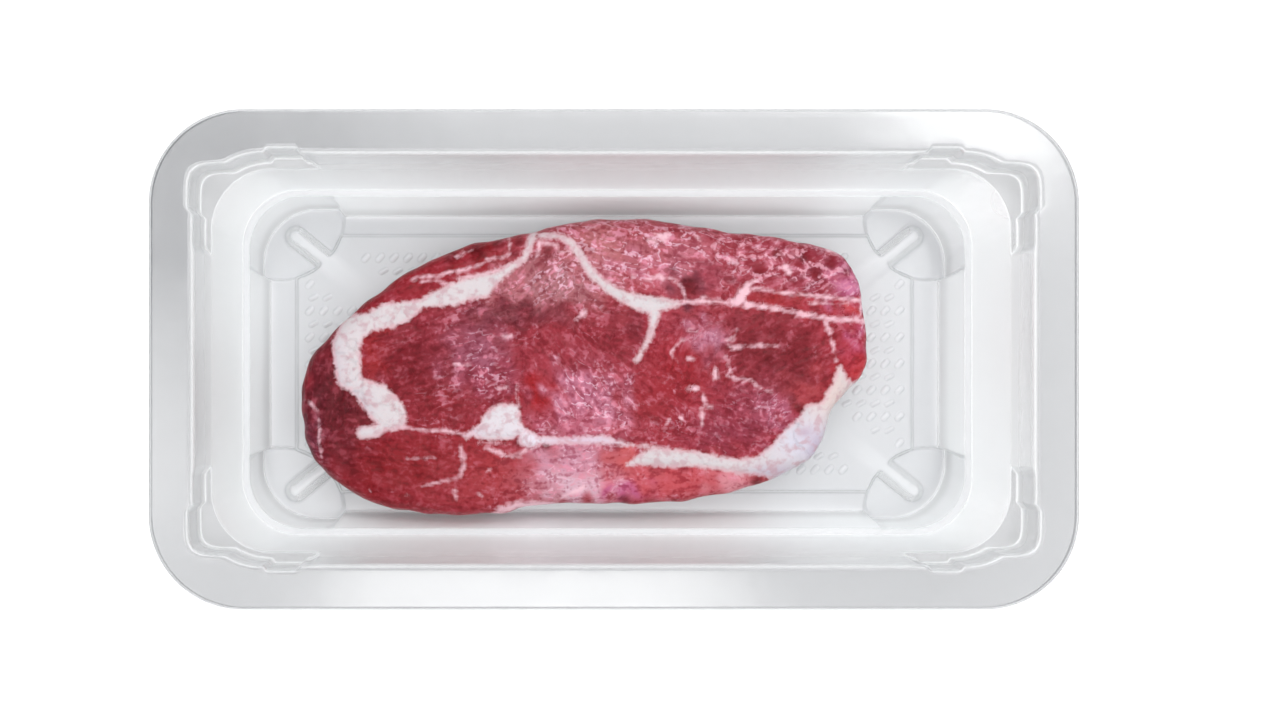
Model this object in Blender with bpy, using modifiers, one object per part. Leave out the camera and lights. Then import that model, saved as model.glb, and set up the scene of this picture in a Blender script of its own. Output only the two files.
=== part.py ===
"""An open meat tray: a thin formed plastic shell with one boneless steak lying on its raised floor.

Metres, +Z up. The origin is on the table, under the middle of the tray; X runs along the tray.
"""
import math
from collections import namedtuple

import bmesh
import bpy
from mathutils import Vector, geometry

# ---------------------------------------------------------------- driving sizes of the tray
LENGTH = 0.260
WIDTH = 0.140
HEIGHT = 0.048
SHEET = 0.0006                  # thickness of the formed plastic

# An outline is a rectangle with round corners. Those of the shell give its inner, food side.
Outline = namedtuple("Outline", "half_x half_y radius")

LIP = Outline(LENGTH / 2, WIDTH / 2, 0.0265)
LIP_DROP = 0.0024               # how far the turned-down edge hangs under the rim
LIP_ROUND = 0.0014
LIP_MIDDLE = 0.65               # share of the rounding's width at which its middle ring lies
LIP_MIDDLE_DROP = 0.0002
LIP_ROUND_DROP = 0.0008
FLANGE_OUTER = Outline(LIP.half_x - LIP_ROUND, LIP.half_y - LIP_ROUND, 0.0253)

# The mouth of the cavity. Its corners' centres are shared by every outline near the rim.
MOUTH = Outline(0.1174, 0.0573, 0.0192)
MOUTH_STRAIGHT_X = MOUTH.half_x - MOUTH.radius
MOUTH_STRAIGHT_Y = MOUTH.half_y - MOUTH.radius
MOUTH_ROUND = 0.0014            # radius from the wall on to the flange
MOUTH_DEPTH = 0.0010            # how far down that rounding starts
MOUTH_MIDDLE = 0.3              # share of its width and depth at which its middle ring lies

SHOULDER_Z = 0.0350             # the denesting pockets stop on a shoulder at this height
SHOULDER_WIDTH = 0.0019
SHOULDER_RISE = 0.0004          # the shoulder slopes a little, outwards and up
SHOULDER_DRAFT = 0.0001
WALL_AT_SHOULDER = Outline(0.1152, 0.0551, 0.0170)
POCKET_FROM_X = 0.0850          # the pockets wrap each corner from here on the long sides ...
POCKET_FROM_Y = 0.0315          # ... to here on the short sides
POCKET_RAMP = 0.0030

LEDGE_CREST = Outline(0.1102, 0.0522, 0.0172)
LEDGE_CREST_Z = 0.0173
LEDGE_FOOT = Outline(0.1082, 0.0502, 0.0160)
LEDGE_FOOT_Z = 0.0168

# Lugs that push the pocket outwards: one on each long side, and one that squares each corner.
SIDE_LUG_FROM_X = 0.0881
SIDE_LUG_TO_X = 0.0981
SIDE_LUG_DEPTH = 0.00125
LUG_RAMP = 0.0005
CORNER_LUG_REACH_X = 0.0205     # measured from the centre of the mouth's corner
CORNER_LUG_REACH_Y = 0.0162
CORNER_LUG_SQUARENESS = 8
CORNER_LUG_FROM = math.radians(9.5)
CORNER_LUG_FULL = math.radians(12.5)
LUG_MARGIN_MIDDLE = 0.0003      # the rim's rounding stays this far outside a lug at its middle ...
LUG_MARGIN_TOP = 0.0008         # ... and at its top

# Floor: a gutter round a raised panel, a round foot in each corner and a rib that runs out of it.
FLOOR = Outline(0.1050, 0.0464, 0.0150)
PANEL = Outline(0.0995, 0.0415, 0.0100)
PANEL_SLOPE = 0.0016
FOOT_Z = SHEET                  # the underside of a foot is on the table
GUTTER_Z = FOOT_Z + 0.0010
PANEL_Z = FOOT_Z + 0.0024
FOOT_CENTRE = Vector((0.1020, 0.0465))
FOOT_RADIUS = 0.0208
FOOT_SLOPE = 0.0009
FOOT_BULGE = 0.0024             # the wall stands back this far round a foot
RIB_START = Vector((0.0970, 0.0400))
RIB_END = Vector((0.0730, 0.0206))
RIB_HALF_WIDTH = 0.0042
RIB_SLOPE = 0.0016
RIB_START_Z = FOOT_Z + 0.0029
RIB_END_Z = PANEL_Z

MERGE = 0.0002                  # points of the floor closer than this become one
CIRCLE_POINTS = 40
CORNER_POINTS = 6
RIB_END_STEPS = 8
SHARP_ANGLE = math.radians(35)  # edges that bend more than this are drawn as creases

# ---------------------------------------------------------------- driving sizes of the steak
STEAK_BOTTOM = PANEL_Z + 0.0005
STEAK_THICKNESS = 0.0170
STEAK_CENTRE = Vector((-0.0065, -0.0012))
STEAK_HALF = Vector((0.0873, 0.0460))
STEAK_OUTLINE_POINTS = 40
SPLINE_STEPS = 16
MILLIMETRE = 0.001

# Points that the steak's widest outline passes through, in millimetres, anticlockwise.
STEAK_OUTLINE = (
    (80.3, 2), (78, -5), (72.5, -10), (68.5, -17), (66, -25), (61, -30.8), (50, -36.3), (38, -40.3),
    (20, -43.2), (0, -43.8), (-18, -43.8), (-32, -46.4), (-46, -47.2), (-62, -46), (-75, -42),
    (-86, -34.7), (-92, -26), (-94, -12), (-92, -0.5), (-85.5, 8), (-77.5, 16), (-66, 25), (-56, 31),
    (-42, 36.5), (-25, 40), (-5, 44.3), (14, 44.2), (33, 41.2), (56, 38), (71, 33.8), (77, 26),
    (79.3, 14),
)

# Its cross-section from the middle of the underside, round the edge, to the middle of the top:
# how far each ring lies inside the outline, and its height as a share of the thickness.
STEAK_SECTION = (
    (0.0300, 0.00), (0.0090, 0.00), (0.0040, 0.03), (0.0008, 0.22), (0.0000, 0.48),
    (0.0006, 0.74), (0.0034, 0.93), (0.0090, 1.00), (0.0200, 1.02), (0.0330, 1.03),
)

# Muscles that stand a little proud of the cut face, and hollows between them: x, y, radius, rise.
STEAK_LOBES = (
    (-0.045, 0.002, 0.030, 0.0011), (0.042, 0.002, 0.024, 0.0010), (0.010, 0.031, 0.022, 0.0006),
    (-0.070, -0.028, 0.024, 0.0004), (0.004, -0.034, 0.020, -0.0008), (0.060, -0.024, 0.018, -0.0012),
    (0.066, 0.026, 0.016, 0.0004),
)


# ---------------------------------------------------------------- rounded rectangles
Station = namedtuple("Station", "sign_x sign_y stretch along")
# A station says where on an outline a point lies, so that outlines of other sizes can match it.
# stretch is "end", "corner" or "side"; along is a share of a straight, or an angle in a corner.


def blend(value, start, end):
    """0 before start, 1 after end and a straight rise between them."""
    return min(max((value - start) / (end - start), 0.0), 1.0)


def depth_inside(outline, x, y):
    """How far a point lies inside an outline (less than 0 outside)."""
    over_x = abs(x) - outline.half_x + outline.radius
    over_y = abs(y) - outline.half_y + outline.radius
    outside = math.hypot(max(over_x, 0.0), max(over_y, 0.0))
    return outline.radius - outside - min(max(over_x, over_y), 0.0)


def station_at(outline, x, y):
    """The station of a point on, or near, an outline."""
    straight_x = outline.half_x - outline.radius
    straight_y = outline.half_y - outline.radius
    sign_x = math.copysign(1, x)
    sign_y = math.copysign(1, y)
    if abs(x) <= straight_x:
        return Station(sign_x, sign_y, "side", abs(x) / straight_x)
    if abs(y) <= straight_y:
        return Station(sign_x, sign_y, "end", abs(y) / straight_y)
    return Station(sign_x, sign_y, "corner", math.atan2(abs(y) - straight_y, abs(x) - straight_x))


def point_at(outline, station, push=0.0):
    """The point of an outline at a station, pushed outwards."""
    straight_x = outline.half_x - outline.radius
    straight_y = outline.half_y - outline.radius
    reach = outline.radius + push
    if station.stretch == "end":
        x, y = straight_x + reach, station.along * straight_y
    elif station.stretch == "side":
        x, y = station.along * straight_x, straight_y + reach
    else:
        x = straight_x + reach * math.cos(station.along)
        y = straight_y + reach * math.sin(station.along)
    return Vector((station.sign_x * x, station.sign_y * y))


def rim_stations():
    """Stations all round the tray, anticlockwise, close together only where the wall changes."""
    on_end = [0.0, 0.0160, POCKET_FROM_Y - POCKET_RAMP / 2, POCKET_FROM_Y + POCKET_RAMP / 2]
    in_corner = [0.0, CORNER_LUG_FROM, CORNER_LUG_FULL]
    in_corner += [math.radians(degrees) for degrees in (20, 28, 36, 44, 52, 61, 72, 90)]
    on_side = [SIDE_LUG_TO_X - LUG_RAMP, SIDE_LUG_FROM_X + LUG_RAMP, SIDE_LUG_FROM_X,
               POCKET_FROM_X + POCKET_RAMP / 2, POCKET_FROM_X - POCKET_RAMP / 2, 0.0600, 0.0300, 0.0]
    quarter = [("end", y / MOUTH_STRAIGHT_Y) for y in on_end]
    quarter += [("corner", angle) for angle in in_corner]
    quarter += [("side", x / MOUTH_STRAIGHT_X) for x in on_side]
    stations = []
    for sign_x, sign_y in ((1, 1), (-1, 1), (-1, -1), (1, -1)):
        run = quarter if sign_x == sign_y else quarter[::-1]
        corner = [Station(sign_x, sign_y, stretch, along) for stretch, along in run]
        stations += corner[:-1]          # the next quarter starts where this one ends
    return stations


# ---------------------------------------------------------------- the wall's pockets and lugs
def pocket_share(station):
    """1 in a denesting pocket, 0 on the plain wall."""
    if station.stretch == "corner":
        return 1.0
    straight = MOUTH_STRAIGHT_Y if station.stretch == "end" else MOUTH_STRAIGHT_X
    middle = POCKET_FROM_Y if station.stretch == "end" else POCKET_FROM_X
    return blend(station.along * straight, middle - POCKET_RAMP / 2, middle + POCKET_RAMP / 2)


def lug_push(station):
    """How far a lug pushes the wall outwards."""
    if station.stretch == "side":
        x = station.along * MOUTH_STRAIGHT_X
        rise = blend(x, SIDE_LUG_FROM_X, SIDE_LUG_FROM_X + LUG_RAMP)
        fall = blend(x, SIDE_LUG_TO_X, SIDE_LUG_TO_X - LUG_RAMP)
        return SIDE_LUG_DEPTH * min(rise, fall)
    if station.stretch == "corner":
        power = CORNER_LUG_SQUARENESS
        share_x = math.cos(station.along) / CORNER_LUG_REACH_X
        share_y = math.sin(station.along) / CORNER_LUG_REACH_Y
        reach = (share_x ** power + share_y ** power) ** (-1 / power)
        return max(reach - MOUTH.radius, 0.0) * blend(station.along, CORNER_LUG_FROM, CORNER_LUG_FULL)
    return 0.0


def grown(outline, distance):
    """The same outline, moved outwards all round."""
    return Outline(outline.half_x + distance, outline.half_y + distance, outline.radius + distance)


def wall_rings():
    """The shell above its floor, from the bottom up: an outline, its height and its push."""

    def plain(_station):
        return 0.0

    def shoulder(station):
        return pocket_share(station) * (SHOULDER_WIDTH + lug_push(station))

    def over_lug(spread, margin):
        # the rounding of the rim stays outside the lugs
        def push(station):
            lug = lug_push(station)
            return max(lug + margin - spread, 0.0) if lug else 0.0
        return push

    middle = MOUTH_MIDDLE * MOUTH_ROUND
    return (
        (LEDGE_FOOT, LEDGE_FOOT_Z, plain),
        (LEDGE_CREST, LEDGE_CREST_Z, plain),
        (WALL_AT_SHOULDER, SHOULDER_Z, plain),
        (grown(WALL_AT_SHOULDER, SHOULDER_DRAFT), SHOULDER_Z + SHOULDER_RISE, shoulder),
        (MOUTH, HEIGHT - MOUTH_DEPTH, over_lug(0.0, 0.0)),
        (grown(MOUTH, middle), HEIGHT - MOUTH_MIDDLE * MOUTH_DEPTH, over_lug(middle, LUG_MARGIN_MIDDLE)),
        (grown(MOUTH, MOUTH_ROUND), HEIGHT, over_lug(MOUTH_ROUND, LUG_MARGIN_TOP)),
        (FLANGE_OUTER, HEIGHT, plain),
        (grown(FLANGE_OUTER, LIP_MIDDLE * LIP_ROUND), HEIGHT - LIP_MIDDLE_DROP, plain),
        (LIP, HEIGHT - LIP_ROUND_DROP, plain),
        (LIP, HEIGHT - LIP_DROP, plain),
    )


# ---------------------------------------------------------------- the floor
def foot_share(x, y):
    """1 on a foot, 0 away from it."""
    distance = (Vector((abs(x), abs(y))) - FOOT_CENTRE).length
    return blend(distance, FOOT_RADIUS, FOOT_RADIUS - FOOT_SLOPE)


def floor_height(x, y):
    """Height of the floor's upper side."""
    height = GUTTER_Z + (PANEL_Z - GUTTER_Z) * blend(depth_inside(PANEL, x, y), 0.0, PANEL_SLOPE)
    height += (FOOT_Z - height) * foot_share(x, y)
    point = Vector((abs(x), abs(y)))
    along = geometry.intersect_point_line(point, RIB_START, RIB_END)[1]
    along = min(max(along, 0.0), 1.0)
    distance = (point - RIB_START.lerp(RIB_END, along)).length
    rib_top = RIB_START_Z + (RIB_END_Z - RIB_START_Z) * along
    return height + max(rib_top - height, 0.0) * blend(distance, RIB_HALF_WIDTH, RIB_HALF_WIDTH - RIB_SLOPE)


def floor_push(station):
    """The floor reaches further out beside a foot."""
    edge = point_at(FLOOR, station)
    return FOOT_BULGE * foot_share(edge.x, edge.y)


def outline_loop(outline):
    """Points round an outline, its corners as arcs."""
    angles = [math.pi / 2 * step / CORNER_POINTS for step in range(CORNER_POINTS + 1)]
    loop = []
    for sign_x, sign_y in ((1, 1), (-1, 1), (-1, -1), (1, -1)):
        run = angles if sign_x == sign_y else angles[::-1]
        loop += [point_at(outline, Station(sign_x, sign_y, "corner", angle)) for angle in run]
    return loop


def circle_loop(centre, radius):
    """Points round a circle."""
    turns = [2 * math.pi * step / CIRCLE_POINTS for step in range(CIRCLE_POINTS)]
    return [centre + radius * Vector((math.cos(turn), math.sin(turn))) for turn in turns]


def rib_loop(half_width):
    """Points round a rib: two straight sides and two half circles."""
    axis = math.atan2(*(RIB_START - RIB_END).yx)
    loop = []
    for centre, heading in ((RIB_START, axis), (RIB_END, axis + math.pi)):
        for step in range(RIB_END_STEPS + 1):
            turn = heading + (step / RIB_END_STEPS - 0.5) * math.pi
            loop.append(centre + half_width * Vector((math.cos(turn), math.sin(turn))))
    return loop


def floor_mesh():
    """The floor as a flat net of triangles between the lines where its height changes, then raised."""
    edge_loop = [point_at(FLOOR, station, floor_push(station)) for station in rim_stations()]
    inner_panel = Outline(PANEL.half_x - PANEL_SLOPE, PANEL.half_y - PANEL_SLOPE, PANEL.radius - PANEL_SLOPE)
    loops = [edge_loop, outline_loop(PANEL), outline_loop(inner_panel)]
    corner_loops = [circle_loop(FOOT_CENTRE, FOOT_RADIUS), circle_loop(FOOT_CENTRE, FOOT_RADIUS - FOOT_SLOPE),
                    rib_loop(RIB_HALF_WIDTH), rib_loop(RIB_HALF_WIDTH - RIB_SLOPE)]
    for sign_x in (1, -1):
        for sign_y in (1, -1):
            loops += [[Vector((sign_x * p.x, sign_y * p.y)) for p in loop] for loop in corner_loops]

    points, edges = [], []
    for loop in loops:
        first = len(points)
        points += loop
        edges += [(first + i, first + (i + 1) % len(loop)) for i in range(len(loop))]
    whole_floor = [list(range(len(edge_loop)))]
    net = geometry.delaunay_2d_cdt(points, edges, whole_floor, 1, MERGE)
    net_points, net_faces, face_sources = net[0], net[2], net[5]

    mesh = bmesh.new()
    verts = [mesh.verts.new((p.x, p.y, floor_height(p.x, p.y))) for p in net_points]
    for face, sources in zip(net_faces, face_sources):
        if sources:                      # the others lie outside the floor's edge
            mesh.faces.new([verts[i] for i in face])
    bmesh.ops.delete(mesh, geom=[v for v in mesh.verts if not v.link_faces], context="VERTS")
    return mesh


# ---------------------------------------------------------------- making the objects
def finish_object(name, mesh, material, collection):
    """Turn a bmesh into a smooth-shaded object of the collection."""
    bmesh.ops.recalc_face_normals(mesh, faces=mesh.faces)
    data = bpy.data.meshes.new(name)
    mesh.to_mesh(data)
    mesh.free()
    data.shade_smooth()
    data.set_sharp_from_angle(angle=SHARP_ANGLE)
    data.materials.append(material)
    part = bpy.data.objects.new(name, data)
    collection.objects.link(part)
    return part


def make_material(name, colour, roughness, transmission=0.0):
    """A Principled material with one colour."""
    material = bpy.data.materials.new(name)
    material.use_nodes = True
    shader = material.node_tree.nodes["Principled BSDF"]
    shader.inputs["Base Color"].default_value = (*colour, 1.0)
    shader.inputs["Roughness"].default_value = roughness
    shader.inputs["Transmission Weight"].default_value = transmission
    return material


def make_tray(collection):
    """The formed shell: the floor's net, drawn up ring by ring to the turned-down lip."""
    mesh = floor_mesh()
    ring = [edge for edge in mesh.edges if edge.is_boundary]
    stations = {v: station_at(FLOOR, v.co.x, v.co.y) for edge in ring for v in edge.verts}
    for outline, height, push in wall_rings():
        made = bmesh.ops.extrude_edge_only(mesh, edges=ring)["geom"]
        raised = {}
        for vert in (item for item in made if isinstance(item, bmesh.types.BMVert)):
            below = next(edge.other_vert(vert) for edge in vert.link_edges
                         if edge.other_vert(vert) in stations)
            raised[vert] = stations[below]
        for vert, station in raised.items():
            spot = point_at(outline, station, push(station))
            vert.co = (spot.x, spot.y, height)
        stations = raised
        ring = [item for item in made if isinstance(item, bmesh.types.BMEdge)]
        ring = [edge for edge in ring if all(vert in stations for vert in edge.verts)]

    bmesh.ops.recalc_face_normals(mesh, faces=mesh.faces)
    bmesh.ops.solidify(mesh, geom=mesh.faces[:], thickness=SHEET)
    for vert in mesh.verts:
        vert.co.z = max(vert.co.z, 0.0)      # no crease of the feet dips under the table
    plastic = make_material("clear_plastic", (0.86, 0.87, 0.88), 0.2, 0.6)
    return finish_object("tray", mesh, plastic, collection)


def smooth_loop(points, count):
    """Evenly spaced points on a closed smooth curve through the given ones."""
    fine = []
    for i in range(len(points)):
        before, start, end, after = (Vector(points[(i + k) % len(points)]) for k in (-1, 0, 1, 2))
        for step in range(SPLINE_STEPS):
            t = step / SPLINE_STEPS
            bend = 2 * before - 5 * start + 4 * end - after
            twist = -before + 3 * start - 3 * end + after
            fine.append(0.5 * (2 * start + (end - before) * t + bend * t * t + twist * t ** 3))
    lengths = [(fine[(i + 1) % len(fine)] - fine[i]).length for i in range(len(fine))]
    spacing = sum(lengths) / count
    loop, travelled, target = [], 0.0, 0.0
    for i, length in enumerate(lengths):
        while len(loop) < count and target <= travelled + length:
            share = (target - travelled) / length
            loop.append(fine[i].lerp(fine[(i + 1) % len(fine)], share))
            target += spacing
        travelled += length
    return loop


def lobe_rise(x, y):
    """How far the cut face stands proud of, or below, its even level."""
    rise = 0.0
    for lobe_x, lobe_y, radius, height in STEAK_LOBES:
        distance = math.hypot(x - lobe_x, y - lobe_y)
        rise += height * math.exp(-(distance / radius) ** 2)
    return rise


def make_steak(collection):
    """One closed soft slab: the outline carried round its cross-section, then subdivided."""
    loop = smooth_loop(STEAK_OUTLINE, STEAK_OUTLINE_POINTS)
    outline = [point * MILLIMETRE - STEAK_CENTRE for point in loop]
    mesh = bmesh.new()
    rings = []
    for inset, share in STEAK_SECTION:
        ring = []
        for point in outline:
            x = STEAK_CENTRE.x + point.x * (1 - inset / STEAK_HALF.x)
            y = STEAK_CENTRE.y + point.y * (1 - inset / STEAK_HALF.y)
            rise = lobe_rise(x, y) * blend(share, 0.5, 1.0)
            ring.append(mesh.verts.new((x, y, STEAK_BOTTOM + STEAK_THICKNESS * share + rise)))
        rings.append(ring)
    for lower, upper in zip(rings, rings[1:]):
        for i in range(len(lower)):
            k = (i + 1) % len(lower)
            mesh.faces.new((lower[i], lower[k], upper[k], upper[i]))
    mesh.faces.new(rings[0])
    mesh.faces.new(rings[-1])

    meat = make_material("raw_meat", (0.34, 0.035, 0.045), 0.35)
    steak = finish_object("steak", mesh, meat, collection)
    soft = steak.modifiers.new("Soft form", "SUBSURF")
    soft.levels = 1
    soft.render_levels = 1
    return steak


def main():
    for thing in list(bpy.data.objects):
        bpy.data.objects.remove(thing, do_unlink=True)
    collection = bpy.data.collections.new("meat tray pack")
    bpy.context.scene.collection.children.link(collection)
    make_tray(collection)
    make_steak(collection)


main()
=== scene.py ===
# %% [markdown]
# # A steak in an open meat tray
#
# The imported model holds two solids: the formed plastic tray, and the steak that lies in it. This
# lesson keeps their sizes and places, and gives both the surface that a shopper sees: thin milky
# plastic with rounded bends and an embossed floor, and raw meat with its fat, grain and wet shine.
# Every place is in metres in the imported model's own frame, and small sizes are written in mm.

# %% Load the frame
import math
from collections import namedtuple

import bmesh
import bpy
import numpy as np
from mathutils import Matrix, Vector, geometry


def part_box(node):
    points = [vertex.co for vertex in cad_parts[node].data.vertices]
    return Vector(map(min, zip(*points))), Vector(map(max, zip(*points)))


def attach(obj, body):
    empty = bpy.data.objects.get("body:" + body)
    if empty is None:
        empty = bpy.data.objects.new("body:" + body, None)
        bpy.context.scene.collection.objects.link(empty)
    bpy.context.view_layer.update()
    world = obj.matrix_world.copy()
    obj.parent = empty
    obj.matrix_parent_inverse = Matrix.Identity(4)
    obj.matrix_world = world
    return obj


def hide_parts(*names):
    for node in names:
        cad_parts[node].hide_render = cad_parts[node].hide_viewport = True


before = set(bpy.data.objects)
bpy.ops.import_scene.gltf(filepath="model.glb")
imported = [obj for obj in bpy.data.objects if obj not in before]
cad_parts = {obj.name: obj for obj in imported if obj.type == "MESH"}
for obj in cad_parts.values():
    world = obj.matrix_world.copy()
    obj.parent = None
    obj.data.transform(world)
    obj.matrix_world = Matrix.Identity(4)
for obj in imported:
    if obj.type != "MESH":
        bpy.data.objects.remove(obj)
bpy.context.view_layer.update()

tray_low, tray_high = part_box("tray")
steak_low, steak_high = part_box("steak")
MM = 0.001
print("tray from", tray_low[:], "to", tray_high[:])
print("steak from", steak_low[:], "to", steak_high[:])

# %% [markdown]
# ## Shader maths as expressions
#
# A material's pattern is arithmetic: noise minus a threshold, times a strength, blended with
# another noise. Wiring each step by hand hides the sum that it stands for. `Wire` wraps one
# socket, so that `0.5 * grain + fibre` adds the Math nodes by itself, and `Graph.node` adds any
# other node from its type, its settings and what goes into its sockets.


# %% Wires and graphs
class Wire:
    """One output socket of a graph. Sums on wires add Math nodes."""

    def __init__(self, graph, socket):
        self.graph = graph
        self.socket = socket

    def maths(self, operation, first, second=0.0):
        return self.graph.node("ShaderNodeMath", {"operation": operation}, {0: first, 1: second})

    def __add__(self, other):
        return self.maths("ADD", self, other)

    def __radd__(self, other):
        return self.maths("ADD", other, self)

    def __sub__(self, other):
        return self.maths("SUBTRACT", self, other)

    def __rsub__(self, other):
        return self.maths("SUBTRACT", other, self)

    def __mul__(self, other):
        return self.maths("MULTIPLY", self, other)

    def __rmul__(self, other):
        return self.maths("MULTIPLY", other, self)

    def rise(self, start, end):
        """0 up to start, 1 from end on, and a smooth climb between them."""
        settings = {"interpolation_type": "SMOOTHSTEP", "clamp": True}
        sockets = {0: self, 1: start, 2: end, 3: 0.0, 4: 1.0}
        return self.graph.node("ShaderNodeMapRange", settings, sockets)


class Graph:
    """A node tree that is built from expressions."""

    def __init__(self, tree):
        self.tree = tree

    def node(self, kind, settings=None, sockets=None, output=0):
        """Add a node of a kind, make its settings, then set or link its sockets."""
        node = self.tree.nodes.new(kind)
        for name, value in (settings or {}).items():
            setattr(node, name, value)
        for place, value in (sockets or {}).items():
            if isinstance(value, Wire):
                self.tree.links.new(value.socket, node.inputs[place])
            else:
                node.inputs[place].default_value = value
        return Wire(self, node.outputs[output])

    def noise(self, place, scale, detail=2.0, roughness=0.5, output=0):
        """Noise between 0 and 1, around 0.5, with about `scale` lumps in one unit of place."""
        sockets = {"Vector": place, "Scale": scale, "Detail": detail, "Roughness": roughness}
        return self.node("ShaderNodeTexNoise", {}, sockets, output)

    def attribute(self, name, output="Fac"):
        return self.node("ShaderNodeAttribute", {"attribute_name": name}, {}, output)

    def scaled(self, vector, factors, added=(0.0, 0.0, 0.0)):
        """A vector with each of its parts multiplied by a factor of its own, plus another one."""
        settings = {"operation": "MULTIPLY_ADD"}
        return self.node("ShaderNodeVectorMath", settings, {0: vector, 1: factors, 2: added})

    def mix(self, share, first, second, blend="MIX"):
        """Two colours: the first where share is 0, the second where it is 1."""
        settings = {"data_type": "RGBA", "blend_type": blend}
        return self.node("ShaderNodeMix", settings, {0: share, 6: first, 7: second}, 2)


class Finish(Graph):
    """A material with one Principled shader, and the nodes that feed it."""

    def __init__(self, name, **constants):
        self.material = bpy.data.materials.new(name)
        self.material.use_nodes = True
        super().__init__(self.material.node_tree)
        self.shader = self.tree.nodes["Principled BSDF"]
        for socket, value in constants.items():
            self.shader.inputs[socket.replace("_", " ")].default_value = value

    def feed(self, socket, wire):
        self.tree.links.new(wire.socket, self.shader.inputs[socket])

    def bump(self, height, distance, strength=1.0):
        sockets = {"Height": height, "Distance": distance, "Strength": strength}
        self.feed("Normal", self.node("ShaderNodeBump", {}, sockets))


def linear(red, green, blue):
    """A display colour from 0 to 255 as the linear colour that shaders work in."""
    shares = (value / 255 for value in (red, green, blue))
    return tuple(s / 12.92 if s <= 0.04045 else ((s + 0.055) / 1.055) ** 2.4 for s in shares) + (1.0,)


# %% [markdown]
# ## Camera
#
# The pack is seen from straight above, as on a shop's product page. The camera stands a little to
# the left of the middle, so that the right-hand and the far walls show more of their inner faces.
# A camera that looks straight down keeps the rim a true rectangle, and a small shift of the lens
# puts the pack in its place in the frame without turning the camera.

# %% Place the camera
EYE = Vector((-23.7 * MM, -11.1 * MM, tray_high.z + 360 * MM))
lens = bpy.data.cameras.new("camera")
lens.sensor_width = 36.0
lens.lens = 36.33
lens.shift_x = 0.0867
lens.shift_y = 0.0305
lens.clip_start = 0.01
camera = bpy.data.objects.new("camera", lens)
camera.location = EYE
bpy.context.scene.collection.objects.link(camera)
bpy.context.scene.camera = camera
print("the camera is", round(EYE.z, 3), "m above the table")

# %% [markdown]
# ## Light
#
# Clear plastic shows what is around it, so the light is made of large, soft, pale areas. The sky
# is an even white that dims towards the far left, where the rim mirrors it. A wide panel in front
# is the main light: it brightens the near flange, and leaves the far wall and the floor behind
# the meat in a soft shade. A smaller one puts the sheen on the far right corner.

# %% Sky
world = bpy.data.worlds.new("studio")
bpy.context.scene.world = world
world.use_nodes = True
sky = Graph(world.node_tree)
heading = sky.node("ShaderNodeTexCoord", output="Generated")
far_left = Vector((-0.34, 0.23, 0.91)).normalized()
towards = sky.node("ShaderNodeVectorMath", {"operation": "DOT_PRODUCT"}, {0: heading, 1: far_left}, 1)
height = sky.node("ShaderNodeSeparateXYZ", {}, {0: heading}, 2)
across = sky.node("ShaderNodeSeparateXYZ", {}, {0: heading}, 1)
overall = 0.36 + 0.80 * across * across + 1.24 * height.rise(0.2, 0.9)
brightness = overall * (1.0 - 0.98 * towards.rise(0.955, 0.992))
background = world.node_tree.nodes["Background"]
world.node_tree.links.new(brightness.socket, background.inputs["Strength"])
background.inputs["Color"].default_value = (0.985, 0.99, 1.0, 1.0)
bpy.context.scene.view_settings.view_transform = "Standard"
print("the sky is dimmed", round(math.degrees(math.acos(0.955))), "degrees round the far left")


# %% Panels
def add_panel(name, place, size, radiance):
    """A soft box that faces the pack: an area light of size (width, height) and even brightness."""
    light = bpy.data.lights.new(name, "AREA")
    light.shape = "RECTANGLE"
    light.size, light.size_y = size
    light.energy = radiance * math.pi * size[0] * size[1]
    panel = bpy.data.objects.new(name, light)
    panel.location = place
    panel.rotation_euler = (-Vector(place)).to_track_quat("-Z", "Y").to_euler()
    bpy.context.scene.collection.objects.link(panel)


add_panel("front_panel", (-0.02, -0.24, 1.05), (0.42, 0.20), 3.3)
add_panel("back_panel", (0.05, 0.50, 0.93), (0.9, 0.36), 2.9)
add_panel("left_panel", (-0.50, -0.02, 1.00), (0.26, 0.42), 1.25)
add_panel("corner_glow", (0.44, 0.29, 1.00), (0.18, 0.13), 5.0)
add_panel("right_glow", (0.95, -0.10, 0.75), (0.20, 0.24), 7.0)
add_panel("front_glow", (0.40, -0.90, 0.75), (0.24, 0.20), 9.0)

# %% [markdown]
# ## Table
#
# The pack stands on a plain, nearly white table. It lies a hair under the feet, so that the two
# surfaces are never at the same height.

# %% Make the table
bpy.ops.object.select_all(action="DESELECT")
bpy.ops.mesh.primitive_plane_add(size=6.0, location=(0, 0, -0.2 * MM))
table = bpy.context.object
table.name = "table"
white = bpy.data.materials.new("white_table")
white.use_nodes = True
white.node_tree.nodes["Principled BSDF"].inputs["Base Color"].default_value = (0.93, 0.93, 0.93, 1)
white.node_tree.nodes["Principled BSDF"].inputs["Roughness"].default_value = 0.9
white.node_tree.nodes["Principled BSDF"].inputs["Specular IOR Level"].default_value = 0.1
table.data.materials.append(white)

# %% [markdown]
# ## Tray: one shell drawn from the floor to the lip
#
# The real tray is a flat sheet, 0.6 mm thick, that vacuum pulls into a mould. So it is modelled
# as one open surface that gets its thickness last. Seen from above, every level of the wall is a
# rectangle with round corners. A *station* says where on such a rectangle a point lies: on an end,
# a side or in a corner. One list of stations serves all levels, so that their points match.

# %% Stations round the tray
Outline = namedtuple("Outline", "half_x half_y radius")


def outline(half_x, half_y, radius):
    """A rectangle with round corners, from its half sizes and its radius in mm."""
    return Outline(half_x * MM, half_y * MM, radius * MM)


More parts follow.
